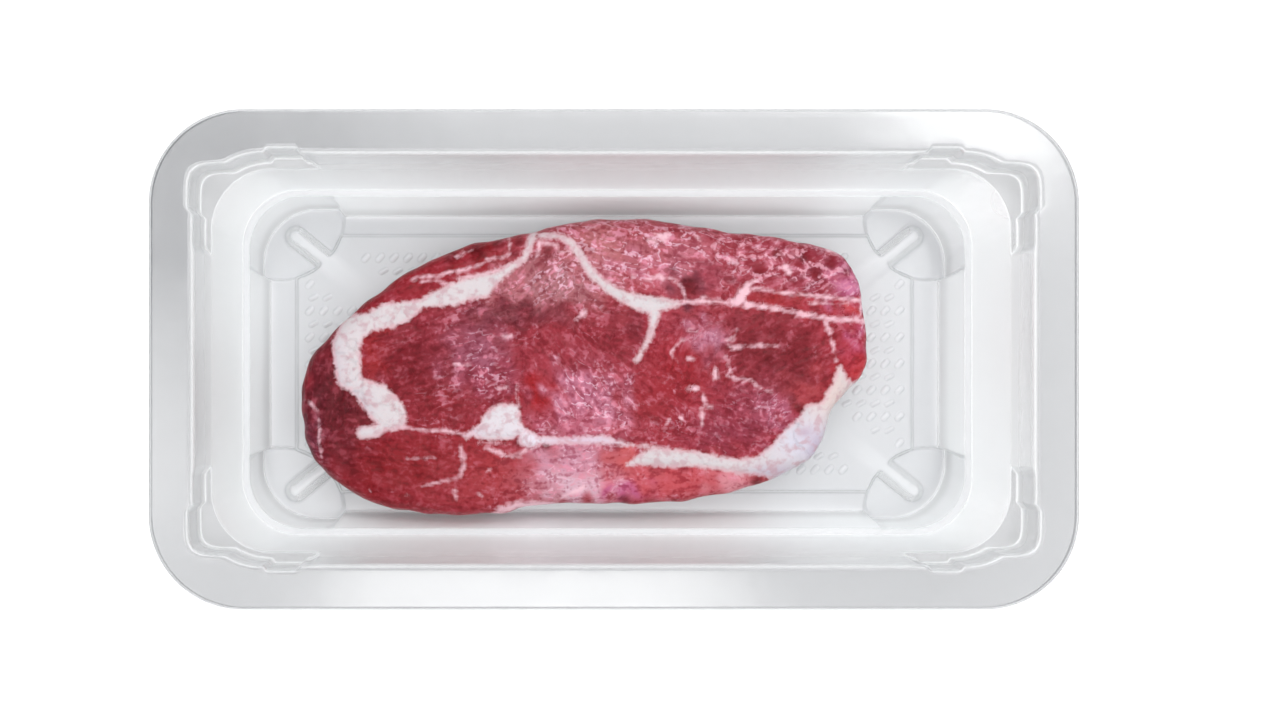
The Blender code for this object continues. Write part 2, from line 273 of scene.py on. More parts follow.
MOUTH = outline(117.4, 57.3, 19.2)
MOUTH_STRAIGHT = np.array((MOUTH.half_x - MOUTH.radius, MOUTH.half_y - MOUTH.radius))
POCKET_FROM = np.array((85.0, 31.5)) * MM      # the corner pockets start here on side and end
POCKET_RAMP = 3.0 * MM
SIDE_LUG = (87.4 * MM, 98.2 * MM)              # each long side's lugs, from and to this x
LUG_RAMP = 1.6 * MM


def steps(*stops):
    """Evenly spaced values from stop to stop; each stop after the first gives its steps."""
    values = [stops[0]]
    for end, count in stops[1:]:
        start = values[-1]
        values += [start + (end - start) * k / count for k in range(1, count + 1)]
    return values


def make_stations():
    """For each station its share of the straights, and its outward direction, with their signs."""
    across = MOUTH_STRAIGHT / MM
    on_end = steps(0.0, (30.0, 7), (33.0, 7), (across[1], 4))[:-1]
    in_corner = steps(0.0, (7.0, 3), (13.0, 8), (26.0, 5), (50.0, 13), (90.0, 14))[:-1]
    on_side = steps(across[0], (96.6, 7), (89.0, 4), (87.4, 7), (86.5, 1), (83.5, 7), (0.0, 18))
    quarter = [(1.0, y / across[1], 1.0, 0.0) for y in on_end]
    for degrees in in_corner:
        angle = math.radians(degrees)
        quarter.append((1.0, 1.0, math.cos(angle), math.sin(angle)))
    quarter += [(x / across[0], 1.0, 0.0, 1.0) for x in on_side]
    stations = []
    for sign_x, sign_y in ((1, 1), (-1, 1), (-1, -1), (1, -1)):
        run = quarter if sign_x == sign_y else quarter[::-1]
        signs = np.array((sign_x, sign_y, sign_x, sign_y))
        stations.append(np.array(run[:-1]) * signs)     # the next quarter starts where this ends
    stations = np.vstack(stations)
    return stations[:, :2], stations[:, 2:]


share, outward = make_stations()
print(len(share), "stations round the tray")


# %% Points of an outline
def around(line, push=0.0):
    """The points of an outline at all stations, pushed outwards."""
    straight = np.array((line.half_x - line.radius, line.half_y - line.radius))
    return straight * share + outward * np.reshape(line.radius + push, (-1, 1))


def climb(values, start, end):
    """0 up to start, 1 from end on, and a smooth climb between them."""
    t = np.clip((np.asarray(values, float) - start) / (end - start), 0.0, 1.0)
    return t * t * (3 - 2 * t)


def depth_inside(line, x, y):
    """How far points lie inside an outline, less than 0 outside."""
    over_x = np.abs(x) - line.half_x + line.radius
    over_y = np.abs(y) - line.half_y + line.radius
    outside = np.hypot(np.maximum(over_x, 0), np.maximum(over_y, 0))
    return line.radius - outside - np.minimum(np.maximum(over_x, over_y), 0)


# %% [markdown]
# ## Pockets and lugs
#
# Trays are stacked one in another before they are filled. A pocket round each corner widens the
# top of the wall and ends on a small shoulder, and the tray above stands on it, so that the stack
# comes apart. Each pocket has two lugs that push its wall further out: a short one on the long
# side, and one that squares the corner. Both are a distance by which the wall is pushed at each
# station, worked out once and used at every level that they touch.


# %% Pocket and lug at each station
def pocket_share():
    """1 in a pocket, 0 on the plain wall."""
    along = np.abs(share) * MOUTH_STRAIGHT
    in_pocket = [climb(along[:, k], POCKET_FROM[k] - POCKET_RAMP / 2, POCKET_FROM[k] + POCKET_RAMP / 2)
                 for k in (0, 1)]
    on_end = np.abs(outward[:, 0]) == 1
    on_side = np.abs(outward[:, 1]) == 1
    return np.where(on_side, in_pocket[0], np.where(on_end, in_pocket[1], 1.0))


def lug_push():
    """How far the lugs push the wall outwards."""
    along = np.abs(share[:, 0]) * MOUTH_STRAIGHT[0]
    side = climb(along, SIDE_LUG[0], SIDE_LUG[0] + LUG_RAMP) * climb(along, SIDE_LUG[1], SIDE_LUG[1] - LUG_RAMP)
    side = np.where(np.abs(outward[:, 1]) == 1, side * 1.25 * MM, 0.0)
    reach_x, reach_y, squareness = 20.5 * MM, 16.2 * MM, 8
    angle = np.arctan2(np.abs(outward[:, 1]), np.abs(outward[:, 0]))
    square = (np.cos(angle) / reach_x) ** squareness + (np.sin(angle) / reach_y) ** squareness
    corner = np.maximum(square ** (-1 / squareness) - MOUTH.radius, 0)
    corner *= climb(np.degrees(angle), 7.0, 13.0) * (np.abs(outward[:, 1]) < 1)
    return side + corner


pocket = pocket_share()
lug = lug_push()
print("the lugs push the wall out by up to", round(lug.max() / MM, 2), "mm")

# %% [markdown]
# ## Floor
#
# The floor is a shallow landscape: a gutter runs round a raised panel, a round foot in each corner
# goes down to the table, and a rib that carries the meat climbs out of each foot. One function
# gives its height at any point. The mesh has lines of points along every feature's edge, at small
# distances from it, so that narrow slopes stay crisp while the flats need few faces. Blender's
# constrained triangulation joins the lines. That is quicker and lighter than a grid as fine as
# the finest slope.

# %% Height of the floor
SHEET = 0.6 * MM
FLOOR = outline(105.0, 46.4, 15.0)
PANEL = outline(97.4, 41.0, 10.0)
PANEL_SLOPE = 1.6 * MM
FOOT_Z = SHEET
GUTTER_Z = FOOT_Z + 1.0 * MM
PANEL_Z = FOOT_Z + 2.4 * MM
FOOT_CENTRE = np.array((102.0, 46.5)) * MM
FOOT_RADIUS = 20.8 * MM
FOOT_SLOPE = 1.3 * MM
FOOT_BULGE = 2.4 * MM
RIB_START = np.array((97.0, 40.0)) * MM
RIB_END = np.array((73.0, 20.6)) * MM
RIB_HALF_WIDTH = 4.2 * MM
RIB_SLOPE = 3.4 * MM
RIB_START_Z = FOOT_Z + 2.9 * MM


def foot_share(x, y):
    """1 on a foot, 0 away from it."""
    distance = np.hypot(np.abs(x) - FOOT_CENTRE[0], np.abs(y) - FOOT_CENTRE[1])
    return climb(distance, FOOT_RADIUS, FOOT_RADIUS - FOOT_SLOPE)


def rib_distance(x, y):
    """Distance to a rib's centre line, and how far along the rib that is, from 0 to 1."""
    axis = RIB_END - RIB_START
    point_x, point_y = np.abs(x) - RIB_START[0], np.abs(y) - RIB_START[1]
    along = np.clip((point_x * axis[0] + point_y * axis[1]) / (axis @ axis), 0, 1)
    return np.hypot(point_x - along * axis[0], point_y - along * axis[1]), along


def floor_height(x, y):
    """Height of the floor's upper side, without the embossing."""
    height = GUTTER_Z + (PANEL_Z - GUTTER_Z) * climb(depth_inside(PANEL, x, y), 0.0, PANEL_SLOPE)
    height += (FOOT_Z - height) * foot_share(x, y)
    distance, along = rib_distance(x, y)
    rib_top = RIB_START_Z + (PANEL_Z - RIB_START_Z) * along
    rounded = climb(distance, RIB_HALF_WIDTH, RIB_HALF_WIDTH - RIB_SLOPE)
    return height + np.maximum(rib_top - height, 0.0) * rounded


print("gutter, panel and rib at", [round(float(floor_height(x, y)) / MM, 2)
                                   for x, y in ((0.102, 0), (0, 0), RIB_START)], "mm")

# %% Lines along the features
Line = namedtuple("Line", "points closed")


def outline_line(line, inset):
    """A line just inside (or outside) an outline, with points every few millimetres."""
    inner = Outline(line.half_x - inset, line.half_y - inset, line.radius - inset)
    straight_x, straight_y = inner.half_x - inner.radius, inner.half_y - inner.radius
    quarter = [(inner.half_x, y) for y in np.linspace(0, straight_y, 10)[:-1]]
    for angle in np.linspace(0, math.pi / 2, 13):
        quarter.append((straight_x + inner.radius * math.cos(angle),
                        straight_y + inner.radius * math.sin(angle)))
    quarter += [(x, inner.half_y) for x in np.linspace(straight_x, 0, 24)[1:]]
    points = []
    for sign_x, sign_y in ((1, 1), (-1, 1), (-1, -1), (1, -1)):
        run = quarter if sign_x == sign_y else quarter[::-1]
        points += [(sign_x * x, sign_y * y) for x, y in run[:-1]]
    return Line(points, True)


def capsule(start, end, radius, end_steps):
    """A line round a straight stretch: two sides and two half circles."""
    axis = math.atan2(start[1] - end[1], start[0] - end[0])
    points = []
    for centre, heading_angle in ((start, axis), (end, axis + math.pi)):
        for k in range(end_steps + 1):
            turn = heading_angle + math.pi * (k / end_steps - 0.5)
            points.append((centre[0] + radius * math.cos(turn), centre[1] + radius * math.sin(turn)))
    return Line(points, True)


def divided(line, spacing):
    """The same line with its long edges cut up."""
    points = []
    count = len(line.points)
    for i in range(count):
        start, end = np.array(line.points[i]), np.array(line.points[(i + 1) % count])
        pieces = max(1, round(float(np.hypot(*(end - start))) / spacing))
        points += [tuple(start + (end - start) * k / pieces) for k in range(pieces)]
    return Line(points, True)


def foot_and_rib_lines():
    """The lines of one corner: rings round the foot's edge, and rings round the rib."""
    lines = []
    for inset in (-0.3, 0.0, 0.4, 0.8, 1.3, 1.7):
        turns = np.linspace(0, 2 * math.pi, 81)[:-1]
        radius = FOOT_RADIUS - inset * MM
        lines.append(Line([(FOOT_CENTRE[0] + radius * math.cos(t), FOOT_CENTRE[1] + radius * math.sin(t))
                           for t in turns], True))
    for inset in (-0.4, 0.0, 0.35, 0.7, 1.1, 1.5, 1.9, 2.6, 3.4):
        rib = capsule(RIB_START, RIB_END, RIB_HALF_WIDTH - inset * MM, 12)
        lines.append(divided(rib, 2.5 * MM))
    return lines


corner_lines = foot_and_rib_lines()
print(len(corner_lines), "lines for each foot and its rib")

# %% [markdown]
# The panel is embossed with short slanting bars, in columns 4.4 mm apart, which keep the meat off
# the plastic and let its juice run. Two sorts of bar take turns: a stubby steep one and a longer,
# flatter one. Each is three lines of one shape: a line that holds the flat round it, the foot of
# its slope and the edge of its top, which is lifted. Bars keep clear of the ribs, the feet and
# the panel's edge.

# %% Embossed bars
BAR_PITCH = np.array((4.4, 8.3)) * MM
BAR_RISE = 0.42 * MM
BAR_MARGIN = 3.4 * MM
Bar = namedtuple("Bar", "offset length width slant")
BARS = (
    Bar((0.0, 0.0), 1.7 * MM, 2.1 * MM, math.radians(48)),
    Bar((1.2 * MM, 4.15 * MM), 2.0 * MM, 1.7 * MM, math.radians(28)),
)


def bar_is_clear(centre):
    """Whether a bar there is on the open panel."""
    x, y = centre
    near_foot = np.hypot(abs(x) - FOOT_CENTRE[0], abs(y) - FOOT_CENTRE[1]) < FOOT_RADIUS + 2.0 * MM
    near_rib = rib_distance(x, y)[0] < RIB_HALF_WIDTH + 2.2 * MM
    near_edge = depth_inside(PANEL, x, y) < PANEL_SLOPE + BAR_MARGIN
    return not (near_foot or near_rib or near_edge)


def bar_lines():
    """All bars' lines, each with the height by which it is lifted."""
    lines = []
    columns, rows = (int(half // pitch) for half, pitch in zip((PANEL.half_x, PANEL.half_y), BAR_PITCH))
    for column in range(-columns, columns + 1):
        for row in range(-rows, rows + 1):
            for bar in BARS:
                centre = BAR_PITCH * (column, row) + bar.offset
                if not bar_is_clear(centre):
                    continue
                reach = bar.length / 2 * np.array((math.cos(bar.slant), math.sin(bar.slant)))
                for wider, lift in ((0.25 * MM, 0.0), (0.0, 0.0), (-0.65 * MM, BAR_RISE)):
                    loop = capsule(centre + reach, centre - reach, bar.width / 2 + wider, 4)
                    lines.append((loop, lift))
    return lines


bars = bar_lines()
print(len(bars) // 3, "bars are embossed in the panel")


# %% Depth inside strokes and patches
def stroke_depth(spots, stroke):
    """How deep spots lie in a stroke of points (x, y, half width), less than 0 outside."""
    depth = np.full(len(spots), -99.0)
    for (ax, ay, a_width), (bx, by, b_width) in zip(stroke, stroke[1:]):
        axis = np.array((bx - ax, by - ay))
        off = spots - (ax, ay)
        along = np.clip(off @ axis / (axis @ axis), 0, 1)
        distance = np.hypot(*(off - along[:, None] * axis).T)
        depth = np.maximum(depth, a_width + (b_width - a_width) * along - distance)
    return depth


def patch_depth(spots, corners):
    """How deep spots lie in a closed outline, less than 0 outside."""
    edge = stroke_depth(spots, [(x, y, 0.0) for x, y in (*corners, corners[0])])
    inside = np.zeros(len(spots), bool)
    for (ax, ay), (bx, by) in zip(corners, (*corners[1:], corners[0])):
        crosses = (ay > spots[:, 1]) != (by > spots[:, 1])
        at = ax + (spots[:, 1] - ay) * (bx - ax) / ((by - ay) or 1.0)
        inside ^= crosses & (spots[:, 0] < at)
    return np.where(inside, -edge, edge)


# %% Triangulate the floor
def floor_rings():
    """The floor's border, where the net ends, and the corner line that the wall starts from."""
    edge = around(FLOOR)
    bulge = FOOT_BULGE * foot_share(edge[:, 0], edge[:, 1])
    rings = []
    for inset in (1.9 * MM, 0.0):
        ring = around(FLOOR, bulge - inset)
        height = floor_height(ring[:, 0], ring[:, 1])
        rings.append(np.column_stack((ring, height)))
    return rings


net_border, wall_start = floor_rings()


def make_net():
    """Flat triangles between the lines, then lifted to the floor's height."""
    points = [tuple(p) for p in net_border[:, :2]]
    edges = [(i, (i + 1) % len(points)) for i in range(len(points))]
    lifts = [0.0] * len(points)
    lines = [(outline_line(PANEL, inset * MM), 0.0) for inset in (-0.3, 0.0, 0.4, 0.8, 1.2, 1.6, 1.9)]
    for sign_x in (1, -1):
        for sign_y in (1, -1):
            lines += [(Line([(sign_x * x, sign_y * y) for x, y in line.points], True), 0.0)
                      for line in corner_lines]
    drawn = np.array([point for line, _ in lines for point in line.points])
    inside = list(patch_depth(drawn, net_border[:, :2]) > 0.4 * MM)
    for line, lift in lines + bars:
        count = len(line.points)
        clear = [inside.pop(0) if inside else True for _ in range(count)]
        number = {i: len(points) + sum(clear[:i]) for i in range(count) if clear[i]}
        points += [line.points[i] for i in number]
        lifts += [lift] * len(number)
        edges += [(number[i], number[(i + 1) % count]) for i in number if (i + 1) % count in number]
    border = [list(range(len(net_border)))]
    net = geometry.delaunay_2d_cdt([Vector(p) for p in points], edges, border, 1, 0.05 * MM)
    spots, _, faces, sources, _, inside = net
    lifted = [max((lifts[i] for i in source), default=0.0) for source in sources]
    station = [next((i for i in source if i < len(net_border)), -1) for source in sources]
    kept = [face for face, whole in zip(faces, inside) if whole]
    return np.array([tuple(s) for s in spots]), np.array(lifted), station, kept


net_spots, net_lift, net_station, net_faces = make_net()
print("the floor's net has", len(net_spots), "points and", len(net_faces), "triangles")

# %% [markdown]
# ## Wall, flange and lip
#
# The wall's section is a chain of corners: floor, ledge, shoulder, mouth, flange, lip. In the
# mould every one of them is rounded. `rounded` turns each corner of the chain into a short curve,
# at all stations at once, and gives the rings that the floor's border is then extruded through.

# %% The section's corners
LEDGE_FOOT = outline(108.2, 50.2, 16.0)
LEDGE_CREST = outline(110.2, 52.2, 17.2)
WALL_TOP = outline(115.2, 55.1, 17.0)
SHOULDER_Z = 35.0 * MM
SHOULDER_WIDTH = 1.9 * MM
LIP = Outline(tray_high.x, tray_high.y, 26.5 * MM)
LIP_DROP = 2.4 * MM
RIM_Z = tray_high.z


def level(line, z, push=0.0):
    """The points of an outline at a height."""
    xy = around(line, push)
    return np.column_stack((xy, np.full(len(xy), z)))


section = [        # a ring of corner points, its rounding and the rings that the rounding takes
    (net_border, 0.0, 1),
    (wall_start, 1.7 * MM, 5),
    (level(LEDGE_FOOT, 16.8 * MM), 0.5 * MM, 3),
    (level(LEDGE_CREST, 17.0 * MM), 0.7 * MM, 4),
    (level(WALL_TOP, SHOULDER_Z, 0.0), 0.5 * MM, 3),
    (level(WALL_TOP, SHOULDER_Z + 0.35 * MM, 0.1 * MM + pocket * (SHOULDER_WIDTH + lug)), 0.9 * MM, 5),
    (level(MOUTH, RIM_Z, lug), 1.7 * MM, 7),
    (level(MOUTH, RIM_Z, lug + 3.8 * MM), 0.0, 1),
    (level(LIP, RIM_Z, -3.2 * MM), 0.0, 1),
    (level(LIP, RIM_Z), 1.4 * MM, 6),
    (level(LIP, RIM_Z - LIP_DROP), 0.0, 1),
]


def rounded(chain):
    """The rings of a chain of corners once each corner is a curve of its own radius."""
    rings = []
    for k, (corner, radius, count) in enumerate(chain):
        if count == 1:
            rings.append(corner)
            continue
        before, after = chain[k - 1][0] - corner, chain[k + 1][0] - corner
        length_before = np.linalg.norm(before, axis=1, keepdims=True)
        length_after = np.linalg.norm(after, axis=1, keepdims=True)
        reach = np.minimum(radius, 0.45 * np.minimum(length_before, length_after))
        start, end = corner + before / length_before * reach, corner + after / length_after * reach
        for t in np.linspace(0, 1, count):
            rings.append((1 - t) ** 2 * start + 2 * t * (1 - t) * corner + t * t * end)
    return rings


rings = rounded(section)
print(len(rings), "rings from the floor to the lip")

# %% Extrude the floor's border through the rings
def make_shell():
    """The floor's net as a mesh object, with its border extruded ring by ring."""
    data = bpy.data.meshes.new("tray_shell")
    height = floor_height(net_spots[:, 0], net_spots[:, 1]) + net_lift
    data.from_pydata(np.column_stack((net_spots, height)).tolist(), [], net_faces)
    station = data.attributes.new("station", "INT", "POINT")
    station.data.foreach_set("value", net_station)
    shell = bpy.data.objects.new("tray_shell", data)
    bpy.context.scene.collection.objects.link(shell)
    bpy.ops.object.select_all(action="DESELECT")
    bpy.context.view_layer.objects.active = shell
    shell.select_set(True)
    bpy.ops.object.mode_set(mode="EDIT")
    bpy.ops.mesh.select_mode(type="EDGE")
    bpy.ops.mesh.select_all(action="DESELECT")
    mesh = bmesh.from_edit_mesh(data)
    for edge in mesh.edges:
        if edge.is_boundary:
            edge.select_set(True)
    for ring in rings[1:]:
        bpy.ops.mesh.extrude_edges_move()
        mesh = bmesh.from_edit_mesh(data)
        number = mesh.verts.layers.int["station"]
        for vert in mesh.verts:
            if vert.select:
                vert.co = ring[vert[number]]
    bmesh.update_edit_mesh(data)
    bpy.ops.mesh.select_all(action="SELECT")
    bpy.ops.mesh.normals_make_consistent(inside=False)
    bpy.ops.object.mode_set(mode="OBJECT")
    if data.polygons[0].normal.z < 0:
        data.flip_normals()
    return shell


tray = make_shell()
print("the shell has", len(tray.data.polygons), "faces")


# %% Give the shell its thickness
def apply_modifier(thing, kind, **settings):
    """Add a modifier with its settings and apply it."""
    modifier = thing.modifiers.new(kind.title(), kind)
    for name, value in settings.items():
        setattr(modifier, name, value)
    bpy.ops.object.select_all(action="DESELECT")
    bpy.context.view_layer.objects.active = thing
    thing.select_set(True)
    bpy.ops.object.modifier_apply(modifier=modifier.name)


def triangles(thing):
    return sum(len(face.vertices) - 2 for face in thing.data.polygons)


apply_modifier(tray, "SOLIDIFY", thickness=SHEET, offset=-1.0, use_quality_normals=True)
places = np.empty(len(tray.data.vertices) * 3)
tray.data.vertices.foreach_get("co", places)
places = places.reshape(-1, 3)
places[:, 2] = np.maximum(places[:, 2], tray_low.z)     # no bend of the feet dips into the table
tray.data.vertices.foreach_set("co", places.ravel())
tray.data.update()
tray.data.shade_smooth()
apply_modifier(tray, "WEIGHTED_NORMAL", weight=60)       # the wide flats stay flat beside their bends
print("the tray has", triangles(tray), "triangles")

# %% [markdown]
# ## Plastic
#
# The sheet is clear but not quite: it is milky, its gloss is soft, and forming leaves its surface
# faintly uneven. So a little more than half of the shader transmits, the rest is white scatter,
# and a low, wide noise bends the reflections. The rim was clamped while the rest was stretched,
# so it is still thick, and its haze is a little denser. Its base colour is painted light and shade:
# flat faces darken from the floor's light grey to a dark grey on the shoulders and the rim, the
# walls are lighter low down, and the feet and the tops of the bars and ribs are lighter than the
# floor round them.


# %% Make the plastic
def make_plastic():
    finish = Finish("clear_plastic", IOR=1.9, Specular_IOR_Level=1.0)
    place = finish.node("ShaderNodeTexCoord", output="Object")
    height = finish.node("ShaderNodeSeparateXYZ", {}, {0: place}, 2)
    normal = finish.node("ShaderNodeNewGeometry", output=1)
    up = finish.node("ShaderNodeSeparateXYZ", {}, {0: normal}, 2)
    grazing = finish.node("ShaderNodeLayerWeight", {}, {"Blend": 0.5}, 1)
    wide = finish.noise(place, 45.0, 3.0)
    # Painted light: the feet, where they touch the table, are a little lighter than the gutter.
    floor = finish.mix(height.rise(0.0008, 0.0015), linear(200, 202, 205), linear(192, 194, 197))
    # Painted highlight: the tops of the bars and the high ends of the ribs are lighter than the panel.
    floor = finish.mix(height.rise(0.0030, 0.0034), floor, linear(212, 214, 217))
    # Painted light and shade: flat faces go from a light grey on the floor, which makes up for the shade inside
    # the tray, to a painted dark grey on the shoulders and the rim.
    flat = finish.mix(height.rise(0.004, 0.034), floor, linear(96, 98, 102))
    # Painted light: the walls are lighter low down, to lift the shade that the meat and the walls cast there,
    # and steep slopes near the floor are a light grey.
    wall = finish.mix(height.rise(0.010, 0.046), linear(230, 234, 235), linear(190, 193, 194))
    steep = finish.mix(height.rise(0.003, 0.009), linear(202, 205, 206), wall)
    upright = (up * up).rise(0.95, 0.30)
    haze = 0.42 + 0.07 * height.rise(0.040, 0.047) - 0.21 * upright
    # Steep faces take the painted light wall colours, and flat faces take the painted greys above.
    finish.feed("Base Color", finish.mix(upright, flat, steep))
    finish.feed("Alpha", haze + (0.05 + 0.54 * upright) * grazing.rise(0.15, 0.95))
    bend = (up * up).rise(0.998, 0.94) * (up * up).rise(0.10, 0.40)
    finish.feed("Roughness", 0.13 + 0.14 * height.rise(0.047, 0.036) + 0.09 * wide + 0.26 * bend)
    finish.bump(wide, 0.0006, 0.25)
    return finish.material


tray.name = "tray_formed_sheet"
tray.data.materials.clear()
tray.data.materials.append(make_plastic())
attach(tray, "root")
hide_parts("tray")

# %% [markdown]
# ## Steak: the slab
#
# The steak is one boneless slice. Its outline is drawn as a few points on a smooth closed
# curve. The slab starts as a circle that takes that outline, is extruded to the meat's thickness,
# and its rims are bevelled. A voxel remesh then turns it into even, small quads, because the
# relief of muscle and fat is moved in later and needs the same density everywhere.

# %% The outline, in mm, anticlockwise
STEAK_OUTLINE = (
    (80.3, 2), (78, -5), (72.5, -10), (68.5, -17), (66, -25), (61, -30.8), (50, -36.3), (38, -40.3),
    (20, -43.2), (0, -43.8), (-18, -43.8), (-32, -46.4), (-46, -47.2), (-62, -46), (-75, -42),
    (-86, -34.7), (-92, -26), (-94, -12), (-92, -0.5), (-85.5, 8), (-77.5, 16), (-66, 25), (-56, 31),
    (-42, 36.5), (-25, 40), (-5, 44.3), (14, 44.2), (33, 41.2), (56, 38), (71, 33.8), (77, 26),
    (79.3, 14),
)
OUTLINE_STEPS = 12


def smooth_loop(points):
    """A closed smooth curve through points, with a few steps between each two of them."""
    points = np.array(points, float)
    before, end, after = (np.roll(points, shift, axis=0) for shift in (1, -1, -2))
    loop = []
    for k in range(OUTLINE_STEPS):
        t = k / OUTLINE_STEPS
        bend = 2 * before - 5 * points + 4 * end - after
        twist = -before + 3 * points - 3 * end + after
        loop.append(0.5 * (2 * points + (end - before) * t + bend * t * t + twist * t ** 3))
    return np.stack(loop, axis=1).reshape(-1, 2)


def fitted_loop():
    """The outline, fitted into the solid's box with room left for an uneven rim."""
    loop = smooth_loop(STEAK_OUTLINE)
    room = 0.4
    low = np.array(steak_low[:2]) / MM + room
    high = np.array(steak_high[:2]) / MM - room
    return low + (loop - loop.min(axis=0)) / np.ptp(loop, axis=0) * (high - low)


steak_loop = fitted_loop()
print("the outline is", np.ptp(steak_loop, axis=0).round(1), "mm")


# %% Extrude, bevel and remesh the slab
def make_slab():
    """The steak's plain body."""
    bottom, top = steak_low.z, steak_high.z - 1.0 * MM
    bpy.ops.object.select_all(action="DESELECT")
    bpy.ops.mesh.primitive_circle_add(vertices=len(steak_loop), radius=0.08, fill_type="NGON",
                                      location=(0, 0, bottom))
    slab = bpy.context.object
    bpy.ops.object.transform_apply(location=True, rotation=False, scale=False)
    for vert, (x, y) in zip(slab.data.vertices, steak_loop):
        vert.co = (x * MM, y * MM, bottom)
    bpy.ops.object.mode_set(mode="EDIT")
    bpy.ops.mesh.select_all(action="SELECT")
    bpy.ops.mesh.extrude_region_move(TRANSFORM_OT_translate={"value": (0, 0, top - bottom)})
    bpy.ops.mesh.select_all(action="SELECT")
    bpy.ops.mesh.normals_make_consistent(inside=False)
    bpy.ops.object.mode_set(mode="OBJECT")
    apply_modifier(slab, "BEVEL", width=6.5 * MM, segments=6, limit_method="ANGLE",
                   angle_limit=math.radians(60), profile=0.55)
    apply_modifier(slab, "REMESH", mode="VOXEL", voxel_size=0.68 * MM)
    apply_modifier(slab, "SMOOTH", factor=0.5, iterations=4)
    slab.data.shade_smooth()
    return slab


steak = make_slab()
print("the slab has", triangles(steak), "triangles")

# %% [markdown]
# ## Fat: strokes and patches
#
# Fat follows the seams between the muscles. It is drawn like brush work on the cut face: a stroke
# is a chain of points, each with the half width of the brush there, and a patch is a closed
# outline. For every vertex the depth inside the nearest one is worked out in mm, more than 0 in
# the fat and less than 0 in the meat. The shader turns that depth into a crisp, ragged edge which
# is finer than the mesh, and the relief uses the same number.

# %% Broad fat
BROAD_STROKES = (
    # the thick cap, from the left rim over the top of the big muscle
    ((-77.5, -4.5, 3.9), (-78, 0, 4.0), (-78.6, 5, 4.3), (-76.5, 10.3, 4.2), (-71, 12, 3.0),
     (-66, 13.8, 3.9), (-61, 15.2, 3.1), (-56, 17.3, 1.4), (-51, 19, 2.6), (-46.5, 20, 3.4),
     (-42, 21.8, 3.3), (-38, 22.6, 3.6), (-34, 25, 1.9), (-30.5, 27.4, 1.4), (-27.5, 29.3, 1.1),
     (-25, 31.5, 1.0), (-23.8, 34, 1.1), (-23.2, 36.2, 1.1), (-22.3, 38.8, 1.1)),
    # its lower end, and the hook that curls back under the dark edge
    ((-74.5, -7.5, 3.0), (-69.3, -11.3, 4.9), (-65.3, -15.6, 5.0), (-62.8, -17.6, 2.4)),
    ((-66.5, -18.6, 1.4), (-69.5, -20.6, 1.9), (-73.4, -21.2, 1.9)),
    # the seam from the top rim down to the middle
    ((-20, 38.1, 0.9), (-14, 37.6, 1.1), (-11, 35.5, 1.2), (-8.7, 32.3, 1.2), (-6.3, 28.8, 1.3),
     (-4, 25.5, 1.4), (-1.5, 23.4, 1.4), (1.5, 21.2, 1.7), (5, 19.3, 1.9), (9, 17.8, 2.5),
     (13, 17, 2.8), (16.8, 17.4, 2.0), (20.5, 17.5, 0.9)),
    # the stem that drops from their meeting
    ((14, 14.5, 1.9), (13.4, 11.5, 1.1), (12.8, 8.5, 0.9), (11.2, 5, 0.7), (9.6, 2.2, 0.7), (8.4, 0.3, 0.6)),
    # the band along the lower right
    ((6, -30.8, 0.6), (9.5, -29.4, 1.6), (14, -28.5, 2.9), (20, -28.9, 2.8), (27, -29.1, 2.3),
     (33, -30.2, 2.0), (40, -31.4, 2.3), (46, -31, 3.1), (51, -28.8, 4.2)),
    # the bright end of the triangle, and the line that runs right from it
    ((-24.5, -22.8, 2.6), (-22.8, -23.6, 2.3)),
    ((-21, -23.5, 1.3), (-15, -23.6, 1.0), (-8, -23.5, 1.1), (-2, -23.2, 1.3), (3, -24.2, 0.8),
     (7, -25, 0.5), (14, -25.3, 0.3)),
)
BROAD_PATCHES = (
    # the triangle in the lower middle
    ((-33, -12.6), (-29, -12.4), (-26.6, -13.2), (-26.3, -17.5), (-24.5, -20.2), (-24.6, -22.6),
     (-27, -22.4), (-29, -23.4), (-36, -23.4), (-39.5, -22.8), (-41, -21.9), (-42.6, -23.5),
     (-43.2, -22), (-41, -20.4), (-38.4, -18), (-36.8, -15.3)),
    # the outer fat at the lower right, out past the rim
    ((74.7, -6), (72, -5), (71, -3), (70.2, -1.3), (69.4, -0.8), (68.5, -2), (68.2, -4), (67, -7),
     (65.5, -9.3), (64.4, -12), (61, -12.6), (59, -13.4), (57.5, -16.3), (55.6, -18.2),
     (53.6, -19.8), (51, -22.6), (49.3, -24.8), (47, -26.8), (45, -28), (44, -33.3), (47, -34.4),
     (52, -37), (62, -40), (90, -30), (90, -6)),
)
print(len(BROAD_STROKES), "strokes and", len(BROAD_PATCHES), "patches of broad fat")

